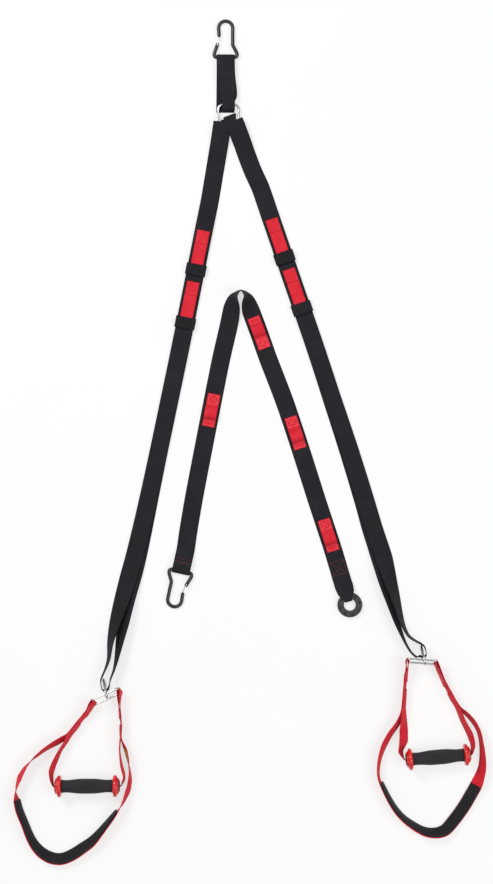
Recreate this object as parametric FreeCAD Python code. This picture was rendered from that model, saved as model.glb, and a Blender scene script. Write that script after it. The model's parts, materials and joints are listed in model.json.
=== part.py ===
import FreeCAD, Part
import math
import os
from FreeCAD import Vector

# Two-handled sling trainer, laid out flat, with its separate extension strap beside it.
# Millimetres. +Y runs from the foot pads to the top hook, +Z up, and the set lies on z = 0.

# Webbing
WEB_WIDTH = 40.0
WEB_THICK = 2.0
RED_WIDTH = 28.0
RED_THICK = 1.6
SOFT_GAP = 0.3          # between pieces that move apart
SEWN_GAP = 0.1          # between layers sewn to each other
LAYER_GAP = 0.2         # between the two loose layers of a leg

# Black rod hooks
HOOK_ROD = 8.0
HOOK_BASE = 50.0        # base bar, centre to centre of the arms
HOOK_CORNER = 5.0
HOOK_ARCH = 15.5        # centreline radius of the bight
HOOK_HEIGHT = 64.3      # base bar to the centre of the arch
HOOK_SHOULDER = 8.5    # straight part of each side above the base bar
HOOK_NECK = 27.0        # where the spine starts to flare towards the base
HOOK_NOSE = 48.6        # end of the nose above the base bar
HOOK_FOOT = 28.0        # end of the short arm that carries the gate
HOOK_FLATS = 6.0        # across the flats that the gate sits on
GATE_WIRE = 2.0

# Steel junction ring
JUNCTION_ROD = 5.0
JUNCTION_WIDTH = 45.0   # centreline
JUNCTION_HEIGHT = 42.0  # centreline
JUNCTION_CORNER = 10.0
JUNCTION_STRAP = 28.0   # head strap where it is gathered round the ring

# Chrome snap hooks
SNAP_ROD = 5.0
SNAP_LENGTH = 50.0      # outer
SNAP_WIDTH = 26.0       # outer
SNAP_GATE = 4.6
SNAP_GATE_LENGTH = 18.0
SNAP_TONGUE = 1.6
SNAP_RIVET = 1.6
SNAP_TAIL = 1.5         # gate behind its rivet

# Handle rings and grips
RING_ROD = 4.2
RING_LENGTH = 66.0      # outer, along the long bars
RING_CORNER = 4.5
GRIP_LENGTH = 113.0     # foam between the flanges
GRIP_FOAM_END = 14.5    # radii of the foam
GRIP_FOAM_NECK = 13.6
GRIP_FOAM_MIDDLE = 16.3
GRIP_BORE = 22.0
GRIP_CORE_WALL = 1.8
FLANGE_DIAMETER = 48.0
FLANGE_THICK = 13.0
FLANGE_RIM = 9.0
BORE_WEB_WIDTH = 2 * math.sqrt((GRIP_BORE / 2 - SOFT_GAP) ** 2 - (RED_THICK / 2) ** 2)

# Foot pads and label
PAD_WIDTH = 26.0
PAD_THICK = 4.0
LABEL_WIDTH = 18.0
LABEL_THICK = 0.6

# Keepers and red loops
KEEPER_LENGTH = 25.0
KEEPER_OUTER = 45.0
KEEPER_THICK = 1.4
TAB_SHOWN = 73.0        # red loop from its top edge to the keeper
TAB_TUCK = 10.0         # part of it under the keeper
TAB_LAP = 30.0          # top edge to the edge of the upper layer
TAB_LAYER_GAP = 0.5
LOOP_LENGTH = 73.0
LOOP_SEWN = 26.0
LOOP_RISE = 13.0

# Anchor disc
DISC_DIAMETER = 55.0
DISC_HOLE = 25.6
DISC_THICK = 8.0
DISC_RECESS_CIRCLE = 43.0
DISC_RECESS = 5.6
DISC_RECESS_DEPTH = 2.5
DISC_RECESSES = 8

Z = Vector(0, 0, 1)


def save(name, shape):
    os.makedirs("parts", exist_ok=True)
    shape.exportStep("parts/" + name + ".step")


def unit(vector):
    return vector * (1.0 / vector.Length)


def plan(degrees):
    """Unit direction in the floor plane."""
    turn = math.radians(degrees)
    return Vector(math.cos(turn), math.sin(turn), 0)


def framed(shape, origin, x_axis, y_axis):
    """Copy of a shape built about the origin, with its X and Y laid along the given axes."""
    z_axis = x_axis.cross(y_axis)
    matrix = FreeCAD.Matrix(
        x_axis.x, y_axis.x, z_axis.x, origin.x,
        x_axis.y, y_axis.y, z_axis.y, origin.y,
        x_axis.z, y_axis.z, z_axis.z, origin.z,
        0, 0, 0, 1)
    placed = shape.copy()
    placed.Placement = FreeCAD.Placement(matrix)
    return placed


# ---------------------------------------------------------------- webbing

class Station:
    """One place along a band: its centre, its width, and the direction from one edge to the other.

    The direction is given, or it lies square to the band's run on the side named, tilted up by an angle."""

    def __init__(self, point, width, edge=None, side=1, tilt=0.0):
        self.point = point
        self.width = width
        self.edge = edge
        self.side = side
        self.tilt = tilt
        self.shift = 0.0     # of the band's middle towards its edge, where one side is cut away

    def edge_at(self, tangent):
        if self.edge:
            return self.edge
        flat = unit(Vector(tangent.y, -tangent.x, 0)) * self.side
        turn = math.radians(self.tilt)
        return flat * math.cos(turn) + Z * math.sin(turn)


def run(rows, side=1):
    """Stations from rows of x, y, z, width, tilt."""
    return [Station(Vector(x, y, z), width, None, side, tilt) for x, y, z, width, tilt in rows]


def resting(rows, side=1):
    """Red band with its lower edge on the floor, from rows of x, y, tilt and how much it is gathered."""
    stations = []
    for x, y, tilt, *gathered in rows:
        turn = math.radians(tilt)
        width = RED_WIDTH - sum(gathered)
        height = width / 2 * abs(math.sin(turn)) + RED_THICK / 2 * abs(math.cos(turn))
        stations.append(Station(Vector(x, y, height), width, None, side, tilt))
    return stations


def bend(centre, radius, start, end, first, last, edge, width, steps=4):
    """Stations round an arc about centre: angles in degrees in the plane of the axes start and end."""
    stations = []
    for step in range(steps + 1):
        turn = math.radians(first + (last - first) * step / steps)
        point = centre + start * (radius * math.cos(turn)) + end * (radius * math.sin(turn))
        stations.append(Station(point, width, edge))
    return stations


def smooth(points, knots):
    """Curve through the points that keeps to the straight runs beside a bend and never dips between them."""
    last = len(points) - 1
    slopes = []
    for index in range(last + 1):
        low = max(index - 1, 0)
        high = min(index + 1, last)
        slope = (points[high] - points[low]) * (1.0 / (knots[high] - knots[low]))
        if 0 < index < last:
            before = (points[index].z - points[low].z) / (knots[index] - knots[low])
            after = (points[high].z - points[index].z) / (knots[high] - knots[index])
            if before * after <= 0:
                slope.z = 0
            else:
                slope.z = math.copysign(min(abs(slope.z), 3 * abs(before), 3 * abs(after)), before)
        slopes.append(slope)
    poles = [points[0], points[0] + slopes[0] * ((knots[1] - knots[0]) / 3)]
    for index in range(1, last):
        poles.append(points[index] - slopes[index] * ((knots[index] - knots[index - 1]) / 3))
        poles.append(points[index] + slopes[index] * ((knots[index + 1] - knots[index]) / 3))
    poles.append(points[last] - slopes[last] * ((knots[last] - knots[last - 1]) / 3))
    poles.append(points[last])
    curve = Part.BSplineCurve()
    curve.buildFromPolesMultsKnots(poles, [4] + [2] * (last - 1) + [4], knots, False, 3)
    return curve


SAMPLES = 2      # places worked out from one station to the next


def frames(stations, thickness):
    """Knot, centre, face normal, edge direction and width at closely spaced places along a band.

    A place whose lower side would sink below the floor is lifted onto it."""
    points = [station.point for station in stations]
    knots = [0.0]
    for before, after in zip(points, points[1:]):
        knots.append(knots[-1] + (after - before).Length)
    centre = smooth(points, knots)
    edges = [station.edge_at(centre.tangent(knot)[0]) for station, knot in zip(stations, knots)]
    placed = []
    for index in range(len(stations) - 1):
        last = index == len(stations) - 2
        for step in range(SAMPLES + (1 if last else 0)):
            part = step / SAMPLES
            knot = knots[index] + (knots[index + 1] - knots[index]) * part
            tangent = unit(centre.tangent(knot)[0])
            edge = edges[index] * (1 - part) + edges[index + 1] * part
            edge = unit(edge - tangent * edge.dot(tangent))
            width = stations[index].width * (1 - part) + stations[index + 1].width * part
            shift = stations[index].shift * (1 - part) + stations[index + 1].shift * part
            normal = tangent.cross(edge)
            place = centre.value(knot) + edge * shift
            place.z = max(place.z, width / 2 * abs(edge.z) + thickness / 2 * abs(normal.z))
            placed.append((knot, place, normal, edge, width))
    return placed


def flat_faces(corners):
    """One face through four corners, or two where they don't lie in a plane."""
    first, second, third, fourth = corners
    lift = (second - first).cross(third - first).dot(fourth - first)
    if abs(lift) < 1e-7:
        return [Part.Face(Part.makePolygon([first, second, third, fourth, first]))]
    return [Part.Face(Part.makePolygon([first, second, third, first])),
            Part.Face(Part.makePolygon([first, third, fourth, first]))]


def band(placed, thickness, offset=0.0, full_width=None):
    """Solid band over the places worked out, moved along its face normal by the offset."""
    sections = []
    for _, centre, normal, edge, width in placed:
        half = edge * ((full_width or width) / 2)
        low = centre + normal * (offset - thickness / 2)
        high = centre + normal * (offset + thickness / 2)
        sections.append([low - half, low + half, high + half, high - half])
    faces = flat_faces(sections[0]) + flat_faces(sections[-1])
    for before, after in zip(sections, sections[1:]):
        faces += flat_faces([before[0], before[1], after[1], after[0]])
        faces += flat_faces([before[1], before[2], after[2], after[1]])
        faces += flat_faces([before[3], after[3], after[2], before[2]])
        faces += flat_faces([before[0], after[0], after[3], before[3]])
    shell = Part.Shell(faces)
    shell.sewShape()
    solid = Part.makeSolid(shell)
    if solid.Volume < 0:
        solid.reverse()
    return solid


def ribbon(stations, thickness):
    return band(frames(stations, thickness), thickness)


def alongside(placed, distance):
    """Stations over a stretch of places already worked out, moved along the face normal."""
    return [Station(centre + normal * distance, width, edge) for _, centre, normal, edge, width in placed]


# ---------------------------------------------------------------- rods

def rounded_path(points, radii, closed=False):
    """Wire through the points in order, with each corner rounded to its radius."""
    count = len(points)
    corners = range(count) if closed else range(1, count - 1)
    cut = {}
    for index in corners:
        here = points[index]
        back = unit(points[index - 1] - here)
        ahead = unit(points[(index + 1) % count] - here)
        half = math.acos(max(-1.0, min(1.0, back.dot(ahead)))) / 2
        reach = radii[index] / math.tan(half)
        start = here + back * reach
        end = here + ahead * reach
        centre = here + unit(back + ahead) * (radii[index] / math.sin(half))
        middle = centre + unit(here - centre) * radii[index]
        cut[index] = (start, middle, end)
    edges = []
    spans = count if closed else count - 1
    for index in range(spans):
        following = (index + 1) % count
        start = cut[index][2] if index in cut else points[index]
        end = cut[following][0] if following in cut else points[following]
        edges.append(Part.makeLine(start, end))
        if following in cut:
            edges.append(Part.Arc(*cut[following]).toShape())
    return Part.Wire(edges)


def rod(path, diameter):
    """Round bar along a wire of lines and arcs."""
    pieces = []
    for edge in path.Edges:
        first, last = edge.FirstParameter, edge.LastParameter
        start = edge.valueAt(first)
        if isinstance(edge.Curve, Part.Circle):
            section = Part.Face(Part.Wire(Part.makeCircle(diameter / 2, start, edge.tangentAt(first))))
            pieces.append(section.revolve(edge.Curve.Center, edge.Curve.Axis, math.degrees(last - first)))
        else:
            pieces.append(Part.makeCylinder(diameter / 2, edge.Length, start, edge.tangentAt(first)))
    return pieces[0].fuse(pieces[1:])


# ---------------------------------------------------------------- black hook with its wire gate

HOOK_GATE_FOOT = Vector(-18.0, HOOK_FOOT - 2.5, 0)
HOOK_GATE_TIP = Vector(-HOOK_ARCH + 2.0, HOOK_NOSE - HOOK_ROD / 2 - GATE_WIRE / 2 - 0.2, 0)


def hook_body():
    half = HOOK_BASE / 2
    points = [
        Vector(-HOOK_ARCH + 1, HOOK_NOSE, 0),
        Vector(-HOOK_ARCH, HOOK_HEIGHT, 0)]
    arch_top = Vector(0, HOOK_HEIGHT + HOOK_ARCH, 0)
    arch_end = Vector(HOOK_ARCH, HOOK_HEIGHT, 0)
    rest = [
        arch_end,
        Vector(HOOK_ARCH, HOOK_NECK, 0),
        Vector(half, HOOK_SHOULDER, 0),
        Vector(half, 0, 0),
        Vector(-half, 0, 0),
        Vector(-half, HOOK_SHOULDER, 0),
        Vector(-18.0, HOOK_FOOT, 0)]
    nose = Part.Wire([Part.makeLine(points[0], points[1]), Part.Arc(points[1], arch_top, arch_end).toShape()])
    spine = rounded_path(rest, [0, 8, 12, HOOK_CORNER, HOOK_CORNER, 12, 0])
    body = rod(nose, HOOK_ROD).fuse(rod(spine, HOOK_ROD))
    for end in (points[0], rest[-1]):
        body = body.fuse(Part.makeSphere(HOOK_ROD / 2, end))
    pin = Part.makeCylinder(GATE_WIRE / 2 + 0.15, HOOK_ROD + 2, HOOK_GATE_FOOT - Z * (HOOK_ROD / 2 + 1), Z)
    flat = Part.makeBox(HOOK_ROD * 2, 15, HOOK_ROD, HOOK_GATE_FOOT + Vector(-HOOK_ROD, -4.5, HOOK_FLATS / 2))
    return body.cut([pin, flat, flat.mirror(Vector(0, 0, 0), Z)])


def hook_gate():
    """Wire hairpin: two legs astride the short arm, joined under the nose, with ends turned into its hole."""
    reach = HOOK_FLATS / 2 + SOFT_GAP + GATE_WIRE / 2
    inset = 1.0
    low = HOOK_GATE_FOOT - Z * reach
    high = HOOK_GATE_FOOT + Z * reach
    path = rounded_path(
        [HOOK_GATE_FOOT - Z * inset, low, HOOK_GATE_TIP - Z * reach * 0.9, HOOK_GATE_TIP + Z * reach * 0.9,
         high, HOOK_GATE_FOOT + Z * inset],
        [0, 1.2, 2.5, 2.5, 1.2, 0])
    return rod(path, GATE_WIRE)


# ---------------------------------------------------------------- chrome snap hook

SNAP_HALF = SNAP_WIDTH / 2 - SNAP_ROD / 2          # centreline radius of the bows
SNAP_BOW = SNAP_LENGTH / 2 - SNAP_WIDTH / 2        # bow centres from the middle
SNAP_HINGE = Vector(-SNAP_GATE_LENGTH / 2, -SNAP_HALF, 0)


def snap_body():
    """Open bow: nose, lower bow, spine, upper bow, hinge end, with a flat tongue for the gate."""
    nose = Vector(SNAP_GATE_LENGTH / 2 + 0.4, -SNAP_HALF, 0)
    low_end = Vector(SNAP_BOW, -SNAP_HALF, 0)
    low_top = Vector(SNAP_BOW, SNAP_HALF, 0)
    high_top = Vector(-SNAP_BOW, SNAP_HALF, 0)
    high_end = Vector(-SNAP_BOW, -SNAP_HALF, 0)
    path = Part.Wire([
        Part.makeLine(nose, low_end),
        Part.Arc(low_end, Vector(SNAP_BOW + SNAP_HALF, 0, 0), low_top).toShape(),
        Part.makeLine(low_top, high_top),
        Part.Arc(high_top, Vector(-SNAP_BOW - SNAP_HALF, 0, 0), high_end).toShape(),
        Part.makeLine(high_end, SNAP_HINGE - Vector(2.2, 0, 0))])
    body = rod(path, SNAP_ROD)
    tongue = Part.makeBox(6.4, 3.4, SNAP_TONGUE, SNAP_HINGE + Vector(-4.4, -1.7, -SNAP_TONGUE / 2))
    rivet_hole = Part.makeCylinder(SNAP_RIVET / 2 + 0.05, SNAP_ROD * 2, SNAP_HINGE - Z * SNAP_ROD, Z)
    return body.fuse(tongue).cut(rivet_hole)


def snap_gate():
    start = SNAP_HINGE - Vector(SNAP_TAIL, 0, 0)
    bar = Part.makeCylinder(SNAP_GATE / 2, SNAP_GATE_LENGTH + SNAP_TAIL - 0.2, start, Vector(1, 0, 0))
    slot = Part.makeBox(6.8, SNAP_GATE * 2, SNAP_TONGUE + 0.5,
                        start + Vector(-0.5, -SNAP_GATE, -SNAP_TONGUE / 2 - 0.25))
    hole = Part.makeCylinder(SNAP_RIVET / 2 + 0.1, SNAP_ROD * 2, SNAP_HINGE - Z * SNAP_ROD, Z)
    return bar.cut(slot).cut(hole)


def snap_rivet():
    length = SNAP_GATE - 0.6
    return Part.makeCylinder(SNAP_RIVET / 2, length, SNAP_HINGE - Z * (length / 2), Z)


# ---------------------------------------------------------------- heights at the hooks and the ring

BAR_HEIGHT = WEB_THICK + SOFT_GAP + HOOK_ROD / 2            # base bar over its return layer
BAR_FOLD = HOOK_ROD / 2 + SOFT_GAP + WEB_THICK / 2
RING_HEIGHT = 2 * (WEB_THICK + SOFT_GAP) + JUNCTION_ROD / 2  # over two return layers
INNER_FOLD = JUNCTION_ROD / 2 + SOFT_GAP + WEB_THICK / 2
OUTER_FOLD = INNER_FOLD + WEB_THICK + SOFT_GAP
FLAT = WEB_THICK / 2

TOP_HOOK_AT = Vector(-52.4, 843.0, BAR_HEIGHT)
RING_CENTRE_X = -46.0
RING_TOP_Y = 739.0
RING_LOW_Y = RING_TOP_Y - JUNCTION_HEIGHT


def place_hook(shape, at, heading):
    """Hook with its base bar at the place given and its bight resting on the floor."""
    lean = math.asin((at.z - HOOK_ROD / 2) / (HOOK_HEIGHT + HOOK_ARCH))
    along = plan(heading) * math.cos(lean) - Z * math.sin(lean)
    across = unit(Vector(along.y, -along.x, 0))
    return framed(shape, at, across, along)


def head_strap():
    tail = run([
        (-53.0, 722.0, FLAT, WEB_WIDTH, 0),
        (-52.8, 760.0, FLAT, WEB_WIDTH, 0),
        (-52.4, 800.0, FLAT, WEB_WIDTH, 0),
        (-52.4, 832.0, FLAT, WEB_WIDTH, 0)], side=-1)
    over_bar = bend(TOP_HOOK_AT, BAR_FOLD, Vector(0, 1, 0), Z, -90, 90, Vector(-1, 0, 0), WEB_WIDTH, 6)
    top = TOP_HOOK_AT.z + BAR_FOLD
    low = RING_HEIGHT + INNER_FOLD
    front = run([
        (-52.2, 832.0, top, WEB_WIDTH, 0),
        (-51.0, 800.0, top - 0.2, WEB_WIDTH, 0),
        (-47.5, 770.0, low + 0.1, WEB_WIDTH, 0),
        (-46.2, 756.0, low, WEB_WIDTH - 2, 0),
        (-46.0, 745.0, low, JUNCTION_STRAP, 0)])
    turn = Vector(-46.0, RING_TOP_Y - 8.0, RING_HEIGHT)
    round_ring = bend(turn, INNER_FOLD, Vector(0, -1, 0), Z, 90, -90, Vector(-1, 0, 0), JUNCTION_STRAP, 6)
    under = RING_HEIGHT - INNER_FOLD
    back = run([
        (-46.0, 745.0, under, JUNCTION_STRAP, 0),
        (-47.0, 765.0, under, 34.0, 0),
        (-48.0, 785.0, under, 36.0, 0)], side=-1)
    return ribbon(tail + over_bar + front + round_ring + back, WEB_THICK)


def junction_ring():
    half = JUNCTION_WIDTH / 2
    corners = [
        Vector(RING_CENTRE_X - half, RING_LOW_Y, RING_HEIGHT),
        Vector(RING_CENTRE_X + half, RING_LOW_Y, RING_HEIGHT),
        Vector(RING_CENTRE_X + half, RING_TOP_Y, RING_HEIGHT),
        Vector(RING_CENTRE_X - half, RING_TOP_Y, RING_HEIGHT)]
    return rod(rounded_path(corners, [JUNCTION_CORNER] * 4, closed=True), JUNCTION_ROD)


# ---------------------------------------------------------------- the two legs

BACK_RAISED = KEEPER_THICK + SOFT_GAP + FLAT
FRONT_RAISED = BACK_RAISED + WEB_THICK + LAYER_GAP
FRONT_FLAT = FLAT + WEB_THICK + LAYER_GAP


class Leg:
    """Route and fittings of one leg. Fold, straight stretch and lower route are in the floor plane."""

    def __init__(self, name, fold_at, fold_up, fold_radius, straight, fold_route, front_route, back_route,
                 loop_tops, keepers, slot_y, clear_x):
        self.name = name
        self.fold_at = fold_at
        self.fold_up = unit(fold_up)
        self.fold_radius = fold_radius
        self.straight = straight
        self.fold_route = fold_route
        self.front_route = front_route
        self.back_route = back_route
        self.loop_tops = loop_tops
        self.keepers = keepers
        self.slot_y = slot_y
        self.clear_x = clear_x

    def down(self):
        return unit(self.straight[1] - self.straight[0])

    def on_line(self, y):
        top, bottom = self.straight
        return top + (bottom - top) * ((top.y - y) / (top.y - bottom.y))


class Snap:
    """Place of a snap hook, and of the webbing and the ring bar inside it."""

    def __init__(self, bar, heading, tilt):
        turn = math.radians(tilt)
        self.along = plan(heading) * math.cos(turn) + Z * math.sin(turn)
        self.across = Z * math.cos(turn) - plan(heading) * math.sin(turn)
        self.face = self.along.cross(self.across)
        self.centre = bar - self.along * (SNAP_BOW + 3.0) - self.across * 4.2

    def at(self, along, across):
        return self.centre + self.along * along + self.across * across


class HandleRing:
    """Steel ring of a handle, leaning on its lower long bar; placed by its upper bar."""

    def __init__(self, bar_x, bar_y, heading, lean):
        self.short = RED_WIDTH + 2.0 + RING_ROD
        lean = math.radians(lean)
        rise = self.short * math.sin(lean)
        self.long_axis = plan(heading)
        self.short_axis = plan(heading + 90) * math.cos(lean) + Z * math.sin(lean)
        self.face = self.long_axis.cross(self.short_axis)
        self.centre = Vector(bar_x, bar_y, rise + RING_ROD / 2 + 0.6) - self.short_axis * (self.short / 2)
        self.half = RING_LENGTH / 2 - RING_ROD / 2

    def upper_bar(self, offset):
        return self.centre + self.short_axis * (self.short / 2) + self.long_axis * offset

    def side(self, sign):
        return self.centre + self.long_axis * (sign * self.half)

    def body(self):
        long_half = self.long_axis * self.half
        short_half = self.short_axis * (self.short / 2)
        corners = [self.centre - long_half - short_half, self.centre + long_half - short_half,
                   self.centre + long_half + short_half, self.centre - long_half + short_half]
        return rod(rounded_path(corners, [RING_CORNER] * 4, closed=True), RING_ROD)


LEFT_RING = HandleRing(-315.84, -552.90, 24.0, 65.02)
RIGHT_RING = HandleRing(377.28, -477.54, -4.0, 71.33)
LEFT_SNAP = Snap(LEFT_RING.upper_bar(2.5), -77.8, 34.0)
RIGHT_SNAP = Snap(RIGHT_RING.upper_bar(4.2), -79.6, 38.7)
HOOKED_WIDTH = 10.0      # webbing gathered inside a snap hook


def climbing(snap, rows, side=1):
    """Stations near a snap hook, each height given as a share of the hook's own."""
    return run([(x, y, share * snap.centre.z, width, tilt) for x, y, share, width, tilt in rows], side)


def hooked(snap, edge_sign):
    """Stations where the gathered webbing crosses the snap hook."""
    edge = snap.across * edge_sign
    middle = snap.at(5.0, 2.3)
    side = snap.face * edge_sign
    return [
        Station(middle - side * 7.0 - snap.along * 2.5, HOOKED_WIDTH, edge),
        Station(middle - side * 3.6 + snap.along * 0.2, HOOKED_WIDTH, edge),
        Station(middle + snap.along * 1.0, HOOKED_WIDTH, edge),
        Station(middle + side * 3.6 + snap.along * 0.2, HOOKED_WIDTH, edge),
        Station(middle + side * 7.0 - snap.along * 2.5, HOOKED_WIDTH, edge)]


LEFT_LEG = Leg(
    "left", Vector(-58.8, 701.2, RING_HEIGHT), Vector(0.15, 1, 0), INNER_FOLD,
    (Vector(-98.0, 475.0, 0), Vector(-153.0, 200.0, 0)),
    fold_route=[(-60.5, 690, 0.0), (-66.0, 655, 0.75), (-71.5, 622, 1.0), (-77.0, 590, 1.0)],
    front_route=run([
        (-176, 90, FRONT_FLAT, 40, 0), (-199, -20, FRONT_FLAT, 40, 0),
        (-223, -130, FRONT_FLAT, 40, 0), (-249, -240, FRONT_FLAT, 40, 0)]) + climbing(LEFT_SNAP, [
        (-266, -300, 0.206, 39, -8), (-281, -350, 0.412, 37, -26), (-296, -400, 0.595, 34, -45),
        (-305.5, -444, 0.664, 30, -60), (-309, -478, 0.733, 25, -70), (-318, -505, 0.870, 19, -78),
        (-325.5, -524, 1.008, 14, -80)]),
    back_route=climbing(LEFT_SNAP, [
        (-304.5, -522, 1.031, 14, -80), (-297.5, -503, 0.893, 19, -75),
        (-291.5, -478, 0.756, 25, -66), (-285.5, -444, 0.641, 30, -54),
        (-277.5, -398, 0.504, 35, -36), (-270, -350, 0.275, 39, -18),
        (-256.0, -295, 0.101, 40, -6)], side=-1) + run([
        (-243, -240, FLAT, 40, 0), (-221, -130, FLAT, 40, 0), (-199, -20, FLAT, 40, 0),
        (-176, 90, FLAT, 40, 0)], side=-1),
    loop_tops=(462.3, 349.8), keepers=(376.2, 259.8),
    slot_y=701.2, clear_x=(-63.0, 0.0))

RIGHT_LEG = Leg(
    "right", Vector(-37.2, 711.0, RING_HEIGHT), Vector(-0.37, 1, 0), OUTER_FOLD,
    (Vector(42.5, 503.0, 0), Vector(146.5, 200.0, 0)),
    fold_route=[(-31.5, 697, 0.0), (-19.0, 664, 0.15), (-6.0, 628, 0.85), (9.0, 590, 1.0)],
    front_route=run([
        (183, 90, FRONT_FLAT, 40, 0), (220, -20, FRONT_FLAT, 40, 0),
        (254.5, -130, FRONT_FLAT, 40, 0)]) + climbing(RIGHT_SNAP, [
        (274, -195, 0.178, 40, 2), (295, -255, 0.290, 39, 14), (309, -305, 0.490, 36, 34),
        (322, -350, 0.602, 33, 52), (334, -395, 0.646, 30, 66), (348, -426, 0.713, 26, 76),
        (365, -438.5, 0.847, 20, 80), (382, -449, 1.047, 14, 80)]),
    back_route=climbing(RIGHT_SNAP, [
        (366, -473, 1.025, 14, 78), (352, -460, 0.869, 19, 78), (338, -434, 0.713, 25, 74),
        (323, -395, 0.602, 30, 62), (310, -350, 0.490, 34, 46), (298, -305, 0.312, 37, 28),
        (286, -255, 0.143, 40, 10)], side=-1) + run([
        (266.5, -190, 1.3, 40, 2), (250, -130, FLAT, 40, 0), (217, -20, FLAT, 40, 0),
        (182, 90, FLAT, 40, 0)], side=-1),
    loop_tops=(487.7, 377.7), keepers=(403.3, 291.3),
    slot_y=704.0, clear_x=(-90.0, -29.0))


SLOT_STEP = 1.5          # run of webbing over which its slot for the ring opens


def ring_fold(leg):
    """Webbing round the ring's low bar, slotted to pass the ring's side."""
    up = leg.fold_up
    edge = unit(Vector(-up.y, up.x, 0))
    before = max(0.0, (leg.fold_at.y - leg.slot_y) / up.y)

    def beside(distance, side):
        return Station(leg.fold_at - up * distance + Z * (side * leg.fold_radius), WEB_WIDTH, edge)

    slotted = bend(leg.fold_at, leg.fold_radius, up, Z, -90, 90, edge, WEB_WIDTH, 6)
    if before:
        slotted = [beside(before, -1)] + slotted + [beside(before, 1)]
    for station in slotted:
        low = max(station.point.x - WEB_WIDTH / 2, leg.clear_x[0])
        high = min(station.point.x + WEB_WIDTH / 2, leg.clear_x[1])
        station.width = high - low
        station.shift = station.point.x - (low + high) / 2
    wide = before + SLOT_STEP
    return [beside(wide, -1)] + slotted + [beside(wide, 1)]


def leg_webbing(leg, snap):
    """One band: sewn under the ring, down the front, through the snap hook and up the back."""
    high = RING_HEIGHT + leg.fold_radius
    low = RING_HEIGHT - leg.fold_radius
    above_return = FLAT + WEB_THICK + SEWN_GAP + 0.3
    near, far = leg.fold_route[:2]
    returned = []
    for part, height in ((1.3, FLAT), (0.55, low), (0.0, low)):
        returned.append((near[0] + (far[0] - near[0]) * part, near[1] + (far[1] - near[1]) * part, height,
                         WEB_WIDTH, 0))
    falling = []
    for x, y, fall in leg.fold_route[:3]:
        falling.append((x, y, high + (above_return - high) * fall, WEB_WIDTH, 0))
    x, y, _ = leg.fold_route[3]
    falling.append((x, y, FLAT, WEB_WIDTH, 0))
    top, bottom = leg.straight
    middle = leg.on_line((top.y + bottom.y) / 2)
    spare = leg.on_line(top.y + 55.0)
    falling.append((spare.x, spare.y, FLAT, WEB_WIDTH, 0))
    for point in (top, middle, bottom):
        falling.append((point.x, point.y, FRONT_RAISED, WEB_WIDTH, 0))
    raised_back = []
    for point in (bottom, middle, leg.on_line(leg.keepers[0] + 22.0)):
        raised_back.append((point.x, point.y, BACK_RAISED, WEB_WIDTH, 0))
    through = hooked(snap, -1 if leg.name == "left" else 1)
    return ribbon(run(returned, side=-1) + ring_fold(leg) + run(falling) + leg.front_route + through
                  + leg.back_route + run(raised_back, side=-1), WEB_THICK)


def red_tab(leg, top_y):
    """Flattened red loop on a leg: sewn at its top, its lower end tucked under the keeper."""
    base = FRONT_RAISED + FLAT + SEWN_GAP + RED_THICK / 2
    upper = base + RED_THICK + TAB_LAYER_GAP
    length = TAB_SHOWN + TAB_TUCK
    top = leg.on_line(top_y)
    down = leg.down()
    edge = unit(Vector(down.y, -down.x, 0))

    def station(distance, height):
        point = top + down * distance
        return Station(Vector(point.x, point.y, height), RED_WIDTH, edge)

    turn = top + down * (length - RED_THICK)
    fold = bend(Vector(turn.x, turn.y, (base + upper) / 2), (upper - base) / 2, down, Z, -90, 90, edge,
                RED_WIDTH, 4)
    stations = [station(0, base), station(length / 2, base)] + fold
    stations += [station(length * 0.6, upper), station(TAB_LAP, upper)]
    return ribbon(stations, RED_THICK)


TAB_TOP = FRONT_RAISED + FLAT + SEWN_GAP + 2 * RED_THICK + TAB_LAYER_GAP


def keeper(leg, centre_y):
    """Elastic sleeve round both layers of a leg and the tucked end of a red loop."""
    height = TAB_TOP + SOFT_GAP + KEEPER_THICK
    outer = Part.makeBox(KEEPER_OUTER, KEEPER_LENGTH, height, Vector(-KEEPER_OUTER / 2, -KEEPER_LENGTH / 2, 0))
    outer = outer.makeFillet(2.4, [e for e in outer.Edges if abs(e.tangentAt(e.FirstParameter).y) > 0.99])
    inner_width = KEEPER_OUTER - 2 * KEEPER_THICK
    inner = Part.makeBox(inner_width, KEEPER_LENGTH + 2, height - 2 * KEEPER_THICK,
                         Vector(-inner_width / 2, -KEEPER_LENGTH / 2 - 1, KEEPER_THICK))
    inner = inner.makeFillet(1.0, [e for e in inner.Edges if abs(e.tangentAt(e.FirstParameter).y) > 0.99])
    down = leg.down()
    return framed(outer.cut(inner), leg.on_line(centre_y), unit(Vector(-down.y, down.x, 0)), down * -1)


# ---------------------------------------------------------------- handles

GRIP_AXIS_HEIGHT = FLANGE_DIAMETER / 2
CORE_PROUD = 1.5         # core tube beyond the flanges


RING_LEAD = 7.0          # straight stretch of strap on both sides of the ring's bar


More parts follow.
